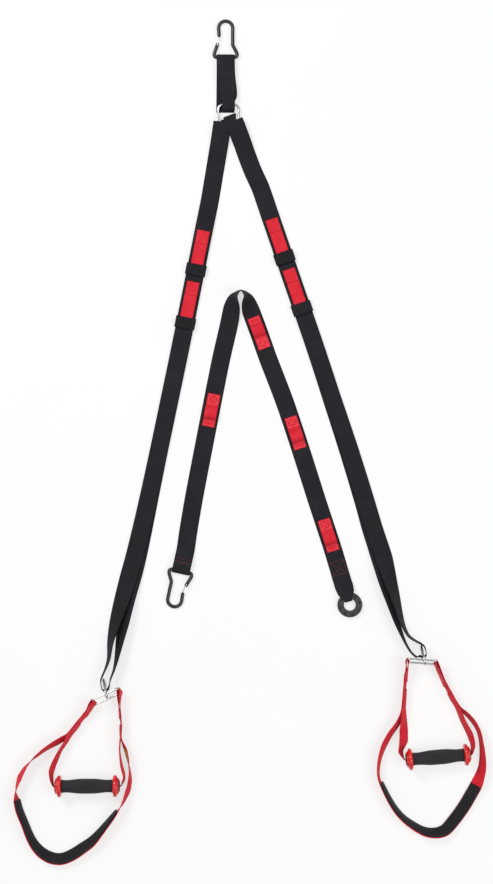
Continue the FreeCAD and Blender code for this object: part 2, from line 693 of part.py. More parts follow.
class Handle:
    """Routes of one handle's two straps between its ring and its grip."""

    def __init__(self, name, ring, grip_centre, grip_heading, left_run, right_run, left_grip, right_grip,
                 left_foot, right_foot, pad_run):
        self.name = name
        self.ring = ring
        self.grip_centre = grip_centre
        self.grip_axis = plan(grip_heading)
        self.left_run = left_run
        self.right_run = right_run
        self.left_grip = left_grip
        self.right_grip = right_grip
        self.left_foot = left_foot
        self.right_foot = right_foot
        self.pad_run = pad_run

    def ring_loop(self, sign, target):
        """Round one short side of the ring, from inside it over the far side to outside, toward the target."""
        radius = RING_ROD / 2 + SOFT_GAP + RED_THICK / 2
        outward = self.ring.long_axis * sign
        middle = self.ring.side(sign)
        away = (target - middle).dot(outward)
        below = (target - middle).dot(self.ring.face)
        bearing = math.degrees(math.atan2(below, away))
        spread = math.degrees(math.acos(radius / math.hypot(away, below)))
        first = bearing + spread - 360
        last = bearing - spread
        arc = bend(middle, radius, outward, self.ring.face, first, last, self.ring.short_axis, RED_WIDTH, 8)

        def lead(station, degrees, reach):
            turn = math.radians(degrees)
            travel = self.ring.face * math.cos(turn) - outward * math.sin(turn)
            return Station(station.point + travel * reach, RED_WIDTH, self.ring.short_axis)

        return [lead(arc[0], first, -RING_LEAD)] + arc + [lead(arc[-1], last, RING_LEAD)]

    def routes(self):
        """Places along the foot strap between the two sides of the ring, and where its stretches start."""
        left_run = resting(self.left_run)
        right_run = resting(self.right_run)
        first = self.ring_loop(-1, left_run[0].point)
        stretches = [first, left_run, resting(self.left_foot), resting(self.pad_run),
                     resting(self.right_foot), right_run,
                     self.ring_loop(1, right_run[-1].point)[::-1]]
        starts = [0]
        stations = []
        for stretch in stretches:
            stations += stretch
            starts.append(len(stations) * SAMPLES)
        return frames(stations, RED_THICK), starts, stations


TAIL = 1         # places of a run covered by a sewn tail
LAYER = RED_THICK + LAYER_GAP


def foot_strap(handle):
    """Outer strap: sewn round both sides of the ring and hanging below the grip."""
    placed, starts, stations = handle.routes()
    left_tail = alongside(placed[starts[1]:starts[1] + TAIL + 1], -LAYER)
    right_end = starts[6] - SAMPLES
    right_tail = alongside(placed[right_end - TAIL:right_end + 1], -LAYER)
    return ribbon(left_tail[::-1] + stations + right_tail[::-1], RED_THICK)


def foot_pad(handle):
    """Padded sleeve on the inner face of the foot strap."""
    placed, starts, _ = handle.routes()
    offset = RED_THICK / 2 + LAYER_GAP + PAD_THICK / 2
    return band(placed[starts[3]:starts[4] - SAMPLES + 1], PAD_THICK, -offset, PAD_WIDTH)


def grip_strap(handle):
    """Inner strap: sewn to the foot strap on both sides and passing through the grip."""
    placed, starts, _ = handle.routes()
    stations = alongside(placed[starts[1] + TAIL + 1:starts[2] - SAMPLES + 1], -LAYER)
    stations += resting(handle.left_grip)
    half = GRIP_LENGTH / 2 + FLANGE_THICK + CORE_PROUD + 2.0
    for distance in (-half, -half * 0.6, 0, half * 0.6, half):
        stations.append(Station(handle.grip_centre + handle.grip_axis * distance, BORE_WEB_WIDTH, Z))
    stations += resting(handle.right_grip)
    stations += alongside(placed[starts[5]:starts[6] - SAMPLES - TAIL], -LAYER)
    return ribbon(stations, RED_THICK)


def around_grip(handle, profile):
    """Solid of revolution about the grip axis from a closed profile of distance and radius."""
    face = Part.Face(Part.Wire(profile))
    solid = face.revolve(Vector(0, 0, 0), Vector(1, 0, 0), 360)
    return framed(solid, handle.grip_centre, handle.grip_axis, Z.cross(handle.grip_axis))


def outline(points):
    return Part.makePolygon([Vector(x, y, 0) for x, y in points + points[:1]]).Edges


CORE_RADIUS = GRIP_BORE / 2 + GRIP_CORE_WALL


def grip_core(handle):
    half = GRIP_LENGTH / 2 + FLANGE_THICK + CORE_PROUD
    inner = GRIP_BORE / 2
    return around_grip(handle, outline([
        (-half, inner + 0.6), (-half + 0.6, inner), (half - 0.6, inner), (half, inner + 0.6),
        (half, CORE_RADIUS), (-half, CORE_RADIUS)]))


def grip_foam(handle):
    half = GRIP_LENGTH / 2
    curve = Part.BSplineCurve()
    curve.interpolate([
        Vector(-half, GRIP_FOAM_END, 0), Vector(-half * 0.75, GRIP_FOAM_NECK, 0),
        Vector(-half * 0.35, GRIP_FOAM_MIDDLE - 0.4, 0), Vector(0, GRIP_FOAM_MIDDLE, 0),
        Vector(half * 0.35, GRIP_FOAM_MIDDLE - 0.4, 0), Vector(half * 0.75, GRIP_FOAM_NECK, 0),
        Vector(half, GRIP_FOAM_END, 0)])
    inner = CORE_RADIUS
    edges = [curve.toShape(),
             Part.makeLine(Vector(half, GRIP_FOAM_END, 0), Vector(half, inner, 0)),
             Part.makeLine(Vector(half, inner, 0), Vector(-half, inner, 0)),
             Part.makeLine(Vector(-half, inner, 0), Vector(-half, GRIP_FOAM_END, 0))]
    return around_grip(handle, edges)


def grip_flange(handle, sign):
    """Glossy end flange with a rounded rim and a short hub."""
    start = sign * GRIP_LENGTH / 2
    rim = FLANGE_DIAMETER / 2
    round_rim = FLANGE_RIM / 2
    inner = CORE_RADIUS
    hub = CORE_RADIUS + 3.0

    def at(distance, radius):
        return Vector(start + sign * distance, radius, 0)

    edges = [
        Part.makeLine(at(0, inner), at(0, rim - round_rim)),
        Part.Arc(at(0, rim - round_rim), at(round_rim, rim), at(FLANGE_RIM, rim - round_rim)).toShape(),
        Part.makeLine(at(FLANGE_RIM, rim - round_rim), at(FLANGE_THICK - 2.0, hub + 1.5)),
        Part.Arc(at(FLANGE_THICK - 2.0, hub + 1.5), at(FLANGE_THICK - 0.5, hub + 1.0),
                 at(FLANGE_THICK, hub)).toShape(),
        Part.makeLine(at(FLANGE_THICK, hub), at(FLANGE_THICK, inner)),
        Part.makeLine(at(FLANGE_THICK, inner), at(0, inner))]
    return around_grip(handle, edges)


LEFT_HANDLE = Handle(
    "left", LEFT_RING, Vector(-355.4, -755.4, GRIP_AXIS_HEIGHT), 0.4,
    left_run=[(-353, -590, 70), (-376, -619, 68), (-396, -644, 66)],
    right_run=[(-281.5, -652, 82), (-281.5, -624, 80), (-283.5, -596, 80)],
    left_grip=[(-403, -661, 72), (-415, -679, 74), (-427, -704, 68),
               (-433.5, -722, 66, 1.0), (-434.5, -740, 76, 4.0)],
    right_grip=[(-275.5, -741, 76, 4.0), (-277, -727, 70, 1.0), (-280.5, -713, 72), (-283.5, -693, 78),
                (-285.0, -674, 82)],
    left_foot=[(-409, -653, 60), (-424, -662, 60), (-446, -675, 68), (-468, -692, 76),
               (-481, -704, 90), (-494, -720, 106), (-504.5, -739, 114),
               (-511, -758, 104), (-513.5, -774, 88)],
    right_foot=[(-279, -797, 100), (-267.5, -770, 112), (-262.5, -745, 106),
                (-263.5, -717, 90), (-267.5, -696, 74), (-273, -674, 70)],
    pad_run=[(-511.5, -788, 70), (-506, -811, 66), (-493, -843, 66), (-479, -876, 60),
             (-461, -900, 48), (-437, -915, 36), (-413, -918, 34), (-389, -909, 34),
             (-367, -895, 38), (-346, -880, 48), (-329, -862, 62), (-314, -844, 70),
             (-300, -827, 76), (-289.5, -813, 84)])

RIGHT_HANDLE = Handle(
    "right", RIGHT_RING, Vector(412.9, -691.7, GRIP_AXIS_HEIGHT), 4.8,
    left_run=[(342.5, -513, 72), (340, -545, 72), (337, -587, 68)],
    right_run=[(458, -584, 70), (440, -553, 72), (425, -524, 76)],
    left_grip=[(338.6, -612, 58), (338.5, -635, 45),
               (338.0, -660, 44), (332.0, -681, 62, 3.0)],
    right_grip=[(490, -669, 72, 3.0), (487.5, -656, 66, 1.0), (482, -640, 64), (469, -615, 68)],
    left_foot=[(334.5, -600, 64), (325.5, -620, 60), (311, -640, 58), (297, -665, 58),
               (287.5, -691, 66), (283, -716, 72), (283, -735, 76)],
    right_foot=[(506.5, -733, 50), (511, -712, 60), (511, -684, 70), (508, -659, 76),
                (502, -635, 74), (489, -613, 70), (474, -597, 70)],
    pad_run=[(287, -750, 78), (293, -763, 76), (303, -783, 74), (319, -809, 72),
             (337, -829, 70), (359, -845, 64), (384, -858, 58), (409, -861, 48),
             (429, -855, 32), (443, -841, 20), (458, -822, 16), (472, -802, 16),
             (486, -778, 18), (498, -756, 24)])


def handle_label(handle):
    """Small blank woven label on the inner face of the right foot branch."""
    placed, starts, _ = handle.routes()
    offset = RED_THICK / 2 + SEWN_GAP + LABEL_THICK / 2
    return band(placed[starts[5] - 3 * SAMPLES:starts[5] - SAMPLES + 1], LABEL_THICK, -offset, LABEL_WIDTH)


# ---------------------------------------------------------------- extension strap

EXTENSION_HOOK_AT = Vector(-150.7, -286.0, BAR_HEIGHT)
EXTENSION_HEADING = -102.3
DISC_AT = Vector(220.4, -359.9, WEB_THICK + SOFT_GAP)
DISC_RUN = unit(Vector(0.298, -0.954, 0))
DISC_FOLD = -8.0          # webbing in the hole, from the disc's centre
DISC_WEB_WIDTH = 16.0


def extension_webbing():
    """One band: sewn round the hook, twisted on edge at the apex, and sewn round the disc."""
    heading = plan(EXTENSION_HEADING)
    edge = unit(Vector(-heading.y, heading.x, 0))
    back = EXTENSION_HOOK_AT - heading * 48.0
    near = EXTENSION_HOOK_AT - heading * 12.0
    high = BAR_HEIGHT + BAR_FOLD
    tail = run([(back.x, back.y, FLAT, WEB_WIDTH, 0), (near.x, near.y, FLAT, WEB_WIDTH, 0)], side=-1)
    around = bend(EXTENSION_HOOK_AT, BAR_FOLD, heading, Z, -90, 90, edge, WEB_WIDTH, 6)
    up = run([
        (near.x, near.y, high, WEB_WIDTH, 0), (back.x, back.y, FLAT + WEB_THICK + 0.8, WEB_WIDTH, 0),
        (-135.5, -205, FLAT, WEB_WIDTH, 0), (-123, -130, FLAT, WEB_WIDTH, 0), (-102, -20, FLAT, WEB_WIDTH, 0),
        (-81.5, 85, FLAT, WEB_WIDTH, 0), (-62.5, 180, FLAT, WEB_WIDTH, 0), (-51.5, 228, FLAT, WEB_WIDTH, 0),
        (-43, 266, 2.5, WEB_WIDTH, 5), (-39, 290, 9.0, WEB_WIDTH, 22), (-35, 308, 15.0, WEB_WIDTH, 45),
        (-28.5, 322, 19.5, WEB_WIDTH, 74), (-19.5, 330, 21.0, WEB_WIDTH, 84), (-10, 323, 19.5, WEB_WIDTH, 74),
        (-4.5, 309, 15.0, WEB_WIDTH, 45), (1, 292, 8.0, WEB_WIDTH, 20), (6.5, 277, FLAT, WEB_WIDTH, 0),
        (24.5, 228, FLAT, WEB_WIDTH, 0), (41.5, 180, FLAT, WEB_WIDTH, 0), (76, 90, FLAT, WEB_WIDTH, 0),
        (113, -20, FLAT, WEB_WIDTH, 0), (148, -130, FLAT, WEB_WIDTH, 0), (184, -240, FLAT, WEB_WIDTH, 0)])

    def on_disc(distance, height, width):
        point = DISC_AT + DISC_RUN * distance
        return Station(Vector(point.x, point.y, height), width, unit(Vector(DISC_RUN.y, -DISC_RUN.x, 0)))

    top = DISC_AT.z + DISC_THICK + SOFT_GAP + FLAT
    middle = DISC_AT.z + DISC_THICK / 2
    corner = 2.6
    over = [
        on_disc(-62.0, FLAT + WEB_THICK + 0.6, WEB_WIDTH), on_disc(-40.0, top - 1.0, WEB_WIDTH),
        on_disc(-27.0, top, WEB_WIDTH - 4), on_disc(DISC_FOLD - 8.0, top, DISC_WEB_WIDTH + 6),
        on_disc(DISC_FOLD - corner, top, DISC_WEB_WIDTH), on_disc(DISC_FOLD - 0.6, top - 1.4, DISC_WEB_WIDTH),
        on_disc(DISC_FOLD, middle + 1.2, DISC_WEB_WIDTH), on_disc(DISC_FOLD, middle - 1.2, DISC_WEB_WIDTH),
        on_disc(DISC_FOLD - 0.6, FLAT + 1.4, DISC_WEB_WIDTH), on_disc(DISC_FOLD - corner, FLAT, DISC_WEB_WIDTH),
        on_disc(DISC_FOLD - 9.0, FLAT, DISC_WEB_WIDTH + 6), on_disc(-27.0, FLAT, WEB_WIDTH - 4),
        on_disc(-40.0, FLAT, WEB_WIDTH), on_disc(-66.0, FLAT, WEB_WIDTH)]
    return ribbon(tail + around + up + over, WEB_THICK)


def extension_loop(top, bottom, sewn_first):
    """Red band sewn flat at both ends, with its slack standing up as a loop that leans away from the stitches."""
    base = WEB_THICK + SEWN_GAP + RED_THICK / 2
    start, end = (top, bottom) if sewn_first else (bottom, top)
    down = unit(end - start)
    edge = unit(Vector(down.y, -down.x, 0))
    rows = [
        (0, 0), (LOOP_SEWN, 0), (LOOP_SEWN + 3, 1.8), (LOOP_SEWN + 7, 7.5),
        (LOOP_SEWN + 14, LOOP_RISE - 1.0), (LOOP_SEWN + 22, LOOP_RISE), (LOOP_SEWN + 28, LOOP_RISE - 4.5),
        (LOOP_SEWN + 30, 3.4), (LOOP_SEWN + 34, 0.3), (LOOP_SEWN + 40, 0), (LOOP_LENGTH, 0)]
    stations = []
    for distance, rise in rows:
        point = start + down * distance
        stations.append(Station(Vector(point.x, point.y, base + rise), RED_WIDTH, edge))
    return ribbon(stations, RED_THICK)


EXTENSION_LOOPS = {
    "extension_loop_left": (Vector(-77.0, 103.4, 0), Vector(-90.9, 32.3, 0), True),
    "extension_loop_upper": (Vector(8.2, 272.0, 0), Vector(34.0, 203.7, 0), False),
    "extension_loop_middle": (Vector(90.0, 53.0, 0), Vector(112.0, -16.0, 0), True),
    "extension_loop_lower": (Vector(162.8, -172.3, 0), Vector(184.5, -241.1, 0), True),
}


def anchor_disc():
    """Moulded ring with rounded edges and a circle of round recesses in its upper face."""
    outer = DISC_DIAMETER / 2
    inner = DISC_HOLE / 2
    soft = 1.6
    edges = [
        Part.makeLine(Vector(inner, 0, soft), Vector(inner, 0, DISC_THICK - soft)),
        Part.Arc(Vector(inner, 0, DISC_THICK - soft), Vector(inner + soft * 0.3, 0, DISC_THICK - soft * 0.3),
                 Vector(inner + soft, 0, DISC_THICK)).toShape(),
        Part.makeLine(Vector(inner + soft, 0, DISC_THICK), Vector(outer - soft, 0, DISC_THICK)),
        Part.Arc(Vector(outer - soft, 0, DISC_THICK), Vector(outer - soft * 0.3, 0, DISC_THICK - soft * 0.3),
                 Vector(outer, 0, DISC_THICK - soft)).toShape(),
        Part.makeLine(Vector(outer, 0, DISC_THICK - soft), Vector(outer, 0, soft)),
        Part.Arc(Vector(outer, 0, soft), Vector(outer - soft * 0.3, 0, soft * 0.3),
                 Vector(outer - soft, 0, 0)).toShape(),
        Part.makeLine(Vector(outer - soft, 0, 0), Vector(inner + soft, 0, 0)),
        Part.Arc(Vector(inner + soft, 0, 0), Vector(inner + soft * 0.3, 0, soft * 0.3),
                 Vector(inner, 0, soft)).toShape()]
    disc = Part.Face(Part.Wire(edges)).revolve(Vector(0, 0, 0), Z, 360)
    for index in range(DISC_RECESSES):
        turn = math.radians(14.0 + index * 360 / DISC_RECESSES)
        at = Vector(math.cos(turn), math.sin(turn), 0) * (DISC_RECESS_CIRCLE / 2)
        disc = disc.cut(Part.makeCylinder(DISC_RECESS / 2, DISC_RECESS_DEPTH + 1,
                                          at + Z * (DISC_THICK - DISC_RECESS_DEPTH), Z))
    disc.translate(DISC_AT)
    return disc


# ---------------------------------------------------------------- write every piece

save("top_hook_body", place_hook(hook_body(), TOP_HOOK_AT, 90))
save("top_hook_gate", place_hook(hook_gate(), TOP_HOOK_AT, 90))
save("head_strap", head_strap())
save("junction_ring", junction_ring())

for leg, snap, handle in ((LEFT_LEG, LEFT_SNAP, LEFT_HANDLE), (RIGHT_LEG, RIGHT_SNAP, RIGHT_HANDLE)):
    save(leg.name + "_leg_webbing", leg_webbing(leg, snap))
    for place, top_y, centre_y in zip(("upper", "lower"), leg.loop_tops, leg.keepers):
        save(leg.name + "_leg_loop_" + place, red_tab(leg, top_y))
        save(leg.name + "_keeper_" + place, keeper(leg, centre_y))
    save(leg.name + "_snap_hook_body", framed(snap_body(), snap.centre, snap.along, snap.across))
    save(leg.name + "_snap_hook_gate", framed(snap_gate(), snap.centre, snap.along, snap.across))
    save(leg.name + "_snap_hook_rivet", framed(snap_rivet(), snap.centre, snap.along, snap.across))
    save(leg.name + "_handle_ring", handle.ring.body())
    save(leg.name + "_foot_strap", foot_strap(handle))
    save(leg.name + "_foot_pad", foot_pad(handle))
    save(leg.name + "_grip_strap", grip_strap(handle))
    save(leg.name + "_grip_core", grip_core(handle))
    save(leg.name + "_grip_foam", grip_foam(handle))
    save(leg.name + "_grip_flange_outer", grip_flange(handle, -1))
    save(leg.name + "_grip_flange_inner", grip_flange(handle, 1))

save("left_handle_label", handle_label(LEFT_HANDLE))
save("extension_webbing", extension_webbing())
for name, (top, bottom, sewn_first) in EXTENSION_LOOPS.items():
    save(name, extension_loop(top, bottom, sewn_first))
save("extension_hook_body", place_hook(hook_body(), EXTENSION_HOOK_AT, EXTENSION_HEADING))
save("extension_hook_gate", place_hook(hook_gate(), EXTENSION_HOOK_AT, EXTENSION_HEADING))
save("anchor_disc", anchor_disc())
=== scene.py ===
import json
import math

import bpy
from mathutils import Vector, noise
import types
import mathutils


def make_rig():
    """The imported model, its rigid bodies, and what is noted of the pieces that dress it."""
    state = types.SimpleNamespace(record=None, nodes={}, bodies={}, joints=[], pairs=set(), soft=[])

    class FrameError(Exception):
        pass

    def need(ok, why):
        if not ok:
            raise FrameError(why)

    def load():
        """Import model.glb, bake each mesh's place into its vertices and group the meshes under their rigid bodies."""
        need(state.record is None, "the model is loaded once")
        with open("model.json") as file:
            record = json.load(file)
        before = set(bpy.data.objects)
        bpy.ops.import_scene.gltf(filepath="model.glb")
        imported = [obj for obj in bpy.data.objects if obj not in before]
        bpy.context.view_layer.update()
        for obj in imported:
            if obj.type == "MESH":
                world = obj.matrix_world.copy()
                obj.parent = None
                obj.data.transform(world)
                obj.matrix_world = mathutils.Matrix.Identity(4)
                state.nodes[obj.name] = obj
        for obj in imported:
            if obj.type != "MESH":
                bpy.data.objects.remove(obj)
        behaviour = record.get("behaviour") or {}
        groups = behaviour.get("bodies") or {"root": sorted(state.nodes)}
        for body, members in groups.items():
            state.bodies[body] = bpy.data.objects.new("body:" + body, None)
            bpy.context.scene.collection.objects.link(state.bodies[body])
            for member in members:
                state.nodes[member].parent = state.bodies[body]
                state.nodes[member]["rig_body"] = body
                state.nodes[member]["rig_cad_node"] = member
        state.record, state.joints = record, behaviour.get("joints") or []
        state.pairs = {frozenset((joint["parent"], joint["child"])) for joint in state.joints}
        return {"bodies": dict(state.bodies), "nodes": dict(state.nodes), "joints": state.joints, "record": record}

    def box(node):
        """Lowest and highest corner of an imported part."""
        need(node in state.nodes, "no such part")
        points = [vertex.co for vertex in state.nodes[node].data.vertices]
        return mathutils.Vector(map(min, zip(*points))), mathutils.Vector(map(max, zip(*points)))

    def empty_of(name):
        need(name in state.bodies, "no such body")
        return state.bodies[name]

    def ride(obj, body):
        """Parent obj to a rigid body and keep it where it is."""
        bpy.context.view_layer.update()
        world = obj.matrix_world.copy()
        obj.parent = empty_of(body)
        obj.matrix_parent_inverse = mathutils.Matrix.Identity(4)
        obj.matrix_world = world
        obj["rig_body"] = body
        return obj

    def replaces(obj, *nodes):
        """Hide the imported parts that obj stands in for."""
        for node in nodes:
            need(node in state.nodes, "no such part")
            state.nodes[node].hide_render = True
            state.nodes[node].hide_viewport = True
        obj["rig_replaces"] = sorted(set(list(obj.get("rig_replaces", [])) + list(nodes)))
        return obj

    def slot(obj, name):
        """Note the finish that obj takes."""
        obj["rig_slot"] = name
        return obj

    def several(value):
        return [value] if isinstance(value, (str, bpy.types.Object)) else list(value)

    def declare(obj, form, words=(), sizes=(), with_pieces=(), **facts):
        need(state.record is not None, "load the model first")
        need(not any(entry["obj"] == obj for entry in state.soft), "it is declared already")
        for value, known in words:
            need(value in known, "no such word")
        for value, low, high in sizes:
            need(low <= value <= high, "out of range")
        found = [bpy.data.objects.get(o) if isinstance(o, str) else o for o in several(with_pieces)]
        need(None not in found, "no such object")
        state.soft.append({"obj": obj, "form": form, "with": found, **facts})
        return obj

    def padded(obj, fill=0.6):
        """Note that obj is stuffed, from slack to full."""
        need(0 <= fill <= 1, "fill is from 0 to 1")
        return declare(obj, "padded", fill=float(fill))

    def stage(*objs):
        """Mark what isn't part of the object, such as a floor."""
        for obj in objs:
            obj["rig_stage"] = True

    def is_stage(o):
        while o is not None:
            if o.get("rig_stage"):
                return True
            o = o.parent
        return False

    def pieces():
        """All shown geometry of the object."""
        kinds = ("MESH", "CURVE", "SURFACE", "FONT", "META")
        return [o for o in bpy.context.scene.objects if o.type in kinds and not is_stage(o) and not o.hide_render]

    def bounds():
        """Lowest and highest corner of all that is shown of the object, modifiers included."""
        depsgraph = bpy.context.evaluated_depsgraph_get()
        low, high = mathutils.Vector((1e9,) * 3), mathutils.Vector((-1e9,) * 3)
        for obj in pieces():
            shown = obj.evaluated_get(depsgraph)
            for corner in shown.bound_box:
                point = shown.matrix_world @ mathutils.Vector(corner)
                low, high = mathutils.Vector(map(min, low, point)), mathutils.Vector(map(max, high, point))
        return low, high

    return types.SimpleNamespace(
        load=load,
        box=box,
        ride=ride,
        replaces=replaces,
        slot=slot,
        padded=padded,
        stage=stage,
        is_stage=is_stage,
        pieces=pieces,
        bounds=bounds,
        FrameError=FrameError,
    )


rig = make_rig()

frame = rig.load()
RECORD = frame["record"]
MM = 0.001


def write_size(name):
    """Keeps the shown size at this point of the script."""
    low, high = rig.bounds()
    try:
        sizes = json.load(open("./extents.json"))
    except (OSError, ValueError):
        sizes = {}
    sizes[name] = [list(low), list(high)]
    json.dump(sizes, open("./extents.json", "w"), indent=1)


write_size("frame")

BODY_OF = {node: body for body, nodes in RECORD["behaviour"]["bodies"].items() for node in nodes}
SLOT_OF = {part["node"]: part["material_slot"] for part in RECORD["subparts"]}


# ---------------------------------------------------------------- materials

class Look:
    """A material being built: its node tree, its shader and short helpers for the nodes used here."""

    def __init__(self, name, **settings):
        self.material = bpy.data.materials.new(name)
        self.material.use_nodes = True
        self.tree = self.material.node_tree
        self.shader = self.tree.nodes["Principled BSDF"]
        for key, value in settings.items():
            self.shader.inputs[key.replace("_", " ")].default_value = value

    def node(self, kind, inputs=None, **settings):
        made = self.tree.nodes.new(kind)
        for key, value in settings.items():
            setattr(made, key, value)
        for key, value in (inputs or {}).items():
            if isinstance(value, bpy.types.NodeSocket):
                self.tree.links.new(value, made.inputs[key])
            else:
                made.inputs[key].default_value = value
        return made

    def math(self, operation, first, second=0.0):
        made = self.node("ShaderNodeMath", operation=operation)
        for index, value in enumerate((first, second)):
            if isinstance(value, bpy.types.NodeSocket):
                self.tree.links.new(value, made.inputs[index])
            else:
                made.inputs[index].default_value = value
        return made.outputs[0]

    def noise(self, scale, detail=3.0):
        inputs = {"Scale": scale, "Detail": detail, "Roughness": 0.6}
        inputs["Vector"] = self.node("ShaderNodeTexCoord").outputs["Object"]
        return self.node("ShaderNodeTexNoise", inputs).outputs["Fac"]

    def ramp(self, value, stops):
        made = self.node("ShaderNodeValToRGB", {"Fac": value})
        elements = made.color_ramp.elements
        while len(elements) < len(stops):
            elements.new(0.5)
        for element, (position, colour) in zip(elements, stops):
            element.position = position
            element.color = (*colour, 1.0)
        return made.outputs["Color"]

    def mix(self, factor, first, second):
        made = self.node("ShaderNodeMix", data_type="RGBA")
        for index, value in ((0, factor), (6, first), (7, second)):
            if isinstance(value, bpy.types.NodeSocket):
                self.tree.links.new(value, made.inputs[index])
            else:
                made.inputs[index].default_value = value if index == 0 else (*value, 1.0)
        return made.outputs[2]

    def colour(self, value):
        self.tree.links.new(value, self.shader.inputs["Base Color"])

    def rough(self, value, low, high):
        made = self.node("ShaderNodeMapRange", {"Value": value, "To Min": low, "To Max": high})
        self.tree.links.new(made.outputs["Result"], self.shader.inputs["Roughness"])

    def bump(self, height, distance, strength=1.0):
        made = self.node("ShaderNodeBump", {"Height": height, "Distance": distance, "Strength": strength})
        self.tree.links.new(made.outputs["Normal"], self.shader.inputs["Normal"])


def weave(look, rib, warp):
    """Height of a woven band: ribs across it and threads along it, offset from rib to rib."""
    place = look.node("ShaderNodeSeparateXYZ", {"Vector": look.node("ShaderNodeUVMap").outputs["UV"]})
    across, along = place.outputs["X"], place.outputs["Y"]
    ribs = look.math("SINE", look.math("MULTIPLY", along, 2 * math.pi / rib))
    slant = look.math("ADD", look.math("MULTIPLY", across, 2 * math.pi / warp),
                      look.math("MULTIPLY", along, math.pi / rib))
    threads = look.math("SINE", slant)
    height = look.math("ADD", look.math("MULTIPLY", ribs, 0.28), look.math("MULTIPLY", threads, 0.22))
    return look.math("ADD", height, 0.5)


SELVEDGE = 0.93      # share of a band's half width at which its darker edge begins


def webbing(name, deep, main, worn, sheen, rib=1.7 * MM, warp=1.1 * MM, tint=(0.6, 0.6, 0.7)):
    """Woven band: ribbed weave, darker gaps, paler worn patches and a darker selvedge."""
    look = Look(name, Roughness=0.72, Sheen_Weight=sheen, Sheen_Roughness=0.45)
    look.shader.inputs["Sheen Tint"].default_value = (*tint, 1.0)
    look.shader.inputs["Specular IOR Level"].default_value = 0.2
    height = weave(look, rib, warp)
    cloth = look.mix(look.ramp(height, [(0.2, (0, 0, 0)), (0.75, (1, 1, 1))]), deep, main)
    side = look.node("ShaderNodeAttribute", attribute_name="side").outputs["Fac"]
    edge = look.math("GREATER_THAN", side, SELVEDGE)
    cloth = look.mix(look.math("MULTIPLY", edge, 0.5), cloth, deep)
    patches = look.ramp(look.noise(26.0, 4.0), [(0.45, (0, 0, 0)), (0.75, (1, 1, 1))])
    look.colour(look.mix(look.math("MULTIPLY", patches, 0.35), cloth, worn))
    look.rough(look.noise(40.0), 0.62, 0.85)
    fuzz = look.math("MULTIPLY", look.noise(2600.0, 2.0), 0.25)
    look.bump(look.math("ADD", height, fuzz), 0.25 * MM, 0.8)
    return look.material


def chrome(name, smooth, dull):
    """Polished metal with faint smudges."""
    look = Look(name, Metallic=1.0)
    smudge = look.noise(90.0, 5.0)
    look.colour(look.ramp(smudge, [(0.3, (0.50, 0.51, 0.53)), (0.7, (0.74, 0.74, 0.76))]))
    look.rough(smudge, smooth, dull)
    look.bump(look.noise(900.0, 3.0), 0.02 * MM, 0.5)
    return look.material


def moulded_red(name, deep, main):
    """Glossy moulded plastic, a little cloudy."""
    look = Look(name, Roughness=0.2, Coat_Weight=0.35, Coat_Roughness=0.08)
    cloud = look.noise(60.0, 4.0)
    look.colour(look.ramp(cloud, [(0.3, deep), (0.7, main)]))
    look.rough(look.noise(240.0, 5.0), 0.16, 0.34)
    look.bump(look.noise(420.0, 3.0), 0.05 * MM, 0.6)
    return look.material


def core_plastic():
    """Dull black plastic of the tube inside a grip."""
    look = Look("core_plastic", Roughness=0.5)
    look.colour(look.ramp(look.noise(120.0), [(0.3, (0.014, 0.014, 0.015)), (0.7, (0.035, 0.035, 0.038))]))
    look.bump(look.noise(700.0), 0.04 * MM, 0.6)
    return look.material


KNURL_PITCH = 3.2 * MM
KNURL_HALF_LENGTH = 17 * MM


def grip_rubber():
    """Matt foam with fine pores and, round the middle, a knurled band."""
    look = Look("grip_foam", Roughness=0.85, Sheen_Weight=0.08, Sheen_Roughness=0.5)
    place = look.node("ShaderNodeSeparateXYZ", {"Vector": look.node("ShaderNodeUVMap").outputs["UV"]})
    round_way, along = place.outputs["X"], place.outputs["Y"]
    band = look.math("LESS_THAN", look.math("ABSOLUTE", along), KNURL_HALF_LENGTH)
    turns = 2 * math.pi / KNURL_PITCH
    first = look.math("SINE", look.math("MULTIPLY", look.math("ADD", round_way, along), turns))
    second = look.math("SINE", look.math("MULTIPLY", look.math("SUBTRACT", round_way, along), turns))
    knurl = look.math("MULTIPLY", look.math("MULTIPLY", first, second), band)
    pores = look.noise(1500.0, 3.0)
    tone = look.math("ADD", look.math("MULTIPLY", knurl, 0.25), pores)
    look.colour(look.ramp(tone, [(0.2, (0.003, 0.003, 0.004)), (0.9, (0.020, 0.020, 0.024))]))
    look.rough(pores, 0.75, 0.95)
    height = look.math("ADD", look.math("MULTIPLY", knurl, 0.8), look.math("MULTIPLY", pores, 0.3))
    look.bump(height, 0.4 * MM)
    return look.material


def thread(name, deep, main):
    """Sewing thread with a slight sheen."""
    look = Look(name, Roughness=0.55, Sheen_Weight=0.2)
    look.colour(look.ramp(look.noise(1800.0, 2.0), [(0.3, deep), (0.7, main)]))
    look.bump(look.noise(3000.0, 2.0), 0.1 * MM, 0.8)
    return look.material


def coated(name, deep, main, grain, distance, painted_shade_below=0.0):
    """Black coat or moulding with a fine grain and rubbed patches; below the height given it is painted near black, as
    painted shade in its recesses.
    """
    look = Look(name, Roughness=0.38, Coat_Weight=0.12, Coat_Roughness=0.3)
    rubbed = look.noise(140.0, 5.0)
    tone = look.ramp(rubbed, [(0.35, deep), (0.75, main)])
    if painted_shade_below:
        place = look.node("ShaderNodeTexCoord").outputs["Object"]
        height = look.node("ShaderNodeSeparateXYZ", {"Vector": place}).outputs["Z"]
        # painted shade: below the height given, the colour is painted near black, as the shade in recesses
        tone = look.mix(look.math("GREATER_THAN", height, painted_shade_below), (0.001, 0.001, 0.001), tone)
    look.colour(tone)
    look.rough(rubbed, 0.30, 0.5)
    look.bump(look.noise(grain, 3.0), distance, 0.7)
    return look.material


